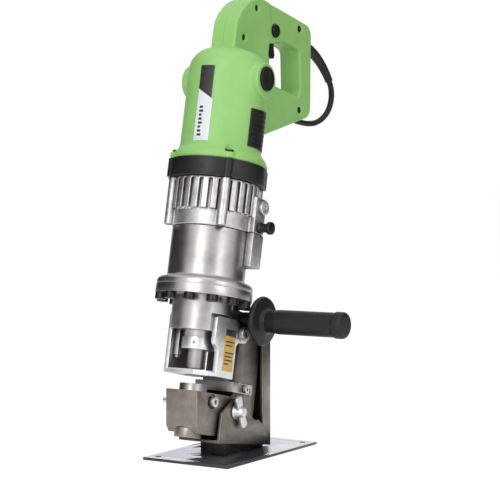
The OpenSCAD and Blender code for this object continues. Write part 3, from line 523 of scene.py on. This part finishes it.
def flat_plate(name, x, y0, y1, z0, z1, thick, material):
    """A thin upright plate on a face that looks along +x, in the tool's own frame."""
    bm = bmesh.new()
    bmesh.ops.create_cube(bm, size=1.0)
    bmesh.ops.scale(bm, vec=(thick * MM, (y1 - y0) * MM, (z1 - z0) * MM), verts=bm.verts)
    bmesh.ops.translate(bm, vec=(x * MM, (y0 + y1) / 2 * MM, (z0 + z1) / 2 * MM), verts=bm.verts)
    bm.transform(TOOL)
    mesh = modified(as_mesh(bm, name), name,
                    ("BEVEL", dict(width=thick * 0.3 * MM, segments=2)))
    smooth(mesh)
    return new_piece(name, mesh, "frame", material)


# A yellow notice without words on the stripper's side
flat_plate("notice", 31.15, 4.5, 25, 17, 62, 0.25, YELLOW)
flat_plate("notice_band", 31.3, 4.5, 25, 55, 62, 0.12, INK)
for i, (z, wide) in enumerate(((48, 17), (44, 13), (36, 17), (32, 15), (28, 16), (24, 9))):
    flat_plate(f"notice_mark_{i}", 31.3, 6.5, 6.5 + wide, z, z + 1.6, 0.12, INK)

# ---------------------------------------------------------------- floor, lights, world
FLOOR_SIZE = 60


def backdrop_material(name):
    """White to the camera and in reflections, an ordinary pale floor for other light, and
    it keeps shadows."""
    n = Nodes(bpy.data.materials.new(name))
    seen = n.seen()
    grain = n.noise(n.add("TexCoord").outputs["Object"], 3.0, 4.0)
    pale = n.mix(n.span(grain, 0.3, 0.7, 0.0, 1.0), (0.8, 0.8, 0.8, 1), (0.78, 0.78, 0.78, 1))
    plain = n.add("BsdfDiffuse", {"Color": pale}).outputs["BSDF"]
    part = n.add("BsdfDiffuse", {"Color": (0.5, 0.5, 0.5, 1)}).outputs["BSDF"]
    glow = n.add("Emission", {"Color": (1, 1, 1, 1), "Strength": 0.72}).outputs["Emission"]
    both = n.add("AddShader", {0: part, 1: glow}).outputs["Shader"]
    mixed = n.add("MixShader", {0: seen, 1: plain, 2: both}).outputs["Shader"]
    n.add("OutputMaterial", {"Surface": mixed})
    return n.owner


floor_bm = bmesh.new()
bmesh.ops.create_grid(floor_bm, x_segments=2, y_segments=2, size=FLOOR_SIZE / 2)
floor = bpy.data.objects.new("floor", as_mesh(floor_bm, "floor"))
floor.location.z = CAD_LOW.z - 0.0002
floor.data.materials.append(backdrop_material("floor_white"))
scene.collection.objects.link(floor)

world = bpy.data.worlds.new("studio")
scene.world = world
sky = Nodes(world)
strength = sky.span(sky.seen(), 0.0, 1.0, 0.55, 1.0)
white = sky.add("Background", {"Color": (1, 1, 1, 1), "Strength": strength})
sky.add("OutputWorld", {"Surface": white.outputs["Background"]})

CENTRE = Vector((0, 0, (CAD_LOW.z + CAD_HIGH.z) / 2))


def softbox(name, turn, height, distance, width, tall, watts):
    """An area light aimed at the tool; turn is measured from the camera's side, rightwards."""
    a = AZIMUTH + math.radians(turn)
    place = CENTRE + Vector((math.sin(a), -math.cos(a), 0)) * distance + Vector((0, 0, height))
    data = bpy.data.lights.new(name, "AREA")
    data.shape = "RECTANGLE"
    data.size, data.size_y = width, tall
    data.energy = watts
    lamp = bpy.data.objects.new(name, data)
    lamp.location = place
    lamp.rotation_euler = (CENTRE - place).to_track_quat("-Z", "Y").to_euler()
    scene.collection.objects.link(lamp)


softbox("key", -24, 0.9, 2.3, 1.0, 1.9, 24)
softbox("fill", 42, 0.7, 2.6, 0.9, 1.7, 13)
softbox("top", 10, 2.4, 0.5, 1.6, 1.6, 10)


def flag(name, turn, distance, width, tall):
    """A dark studio panel that only shows in gloss, so that bright metal has dark edges."""
    a = AZIMUTH + math.radians(turn)
    out = Vector((math.sin(a), -math.cos(a), 0))
    along = Vector((math.cos(a), math.sin(a), 0)) * width / 2
    base = CENTRE + out * distance
    bm = bmesh.new()
    corners = [bm.verts.new(base + along * i + Vector((0, 0, tall / 2 * j)))
               for i, j in ((-1, -1), (1, -1), (1, 1), (-1, 1))]
    bm.faces.new(corners)
    panel = bpy.data.objects.new(name, as_mesh(bm, name))
    n = Nodes(bpy.data.materials.new(name))
    felt = n.noise(n.add("TexCoord").outputs["Object"], 200.0)
    dark = n.mix(felt, (0.03, 0.03, 0.03, 1), (0.05, 0.05, 0.05, 1))
    n.add("OutputMaterial", {"Surface": n.add("BsdfDiffuse", {"Color": dark}).outputs["BSDF"]})
    panel.data.materials.append(n.owner)
    scene.collection.objects.link(panel)
    panel.visible_camera = False
    panel.visible_diffuse = False
    panel.visible_shadow = False


flag("flag_left", -112, 1.5, 2.8, 2.6)
flag("flag_right", 116, 1.5, 1.7, 2.4)

# ---------------------------------------------------------------- finishes on the CAD nodes
for node, thing in frame["nodes"].items():
    finish = MATERIALS[slot_name(node)]
    thing.data.materials.clear()
    thing.data.materials.append(finish)

scene.view_settings.view_transform = "Standard"
